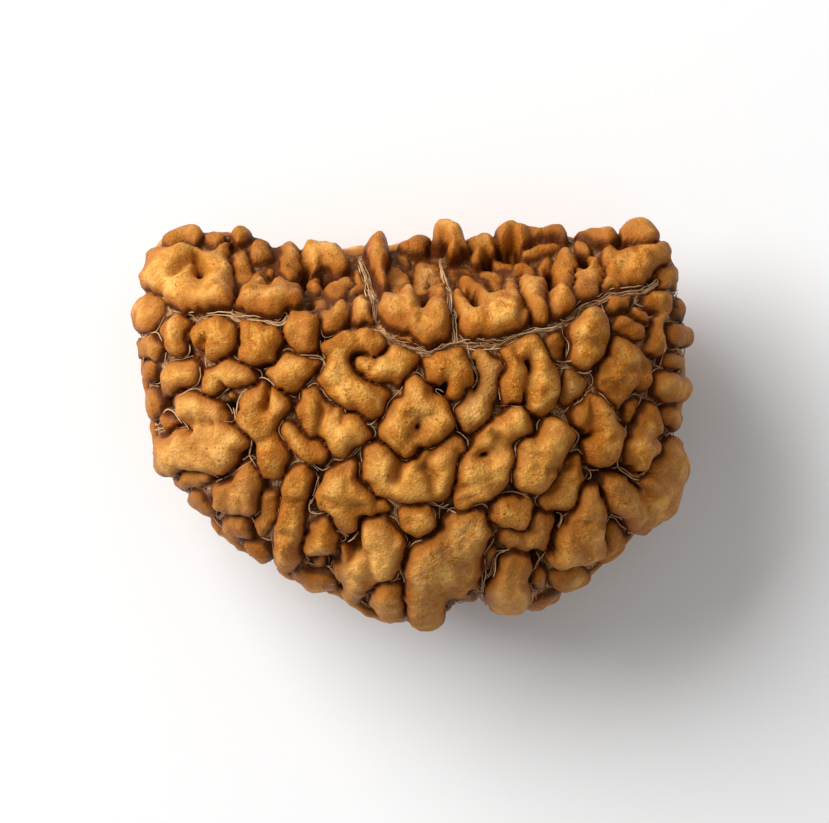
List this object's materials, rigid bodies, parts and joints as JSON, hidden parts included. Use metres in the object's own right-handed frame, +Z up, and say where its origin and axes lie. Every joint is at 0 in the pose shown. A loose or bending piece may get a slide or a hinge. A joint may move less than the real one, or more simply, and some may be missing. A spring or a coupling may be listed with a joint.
{
  "type": "rudraksha seed",
  "caption": "Half-moon rudraksha seed: a woody fruit stone with deeply lobed relief, lying on its broad back.",
  "frame": {"origin": "centre of the bounding box's underside, on the surface the seed lies on", "axes": "+X along the straight side, towards the right of the front; +Y from the round side to the straight side; +Z up, out of the broad front"},
  "size_m": [0.0302, 0.0218, 0.0159],
  "materials": {
    "seed_wood": "dried woody stone, golden brown lobes with a soft waxy gloss, near-black furrows"
  },
  "bodies": {
    "root": {"rudraksha_seed": "seed_wood"}
  },
  "joints": []
}
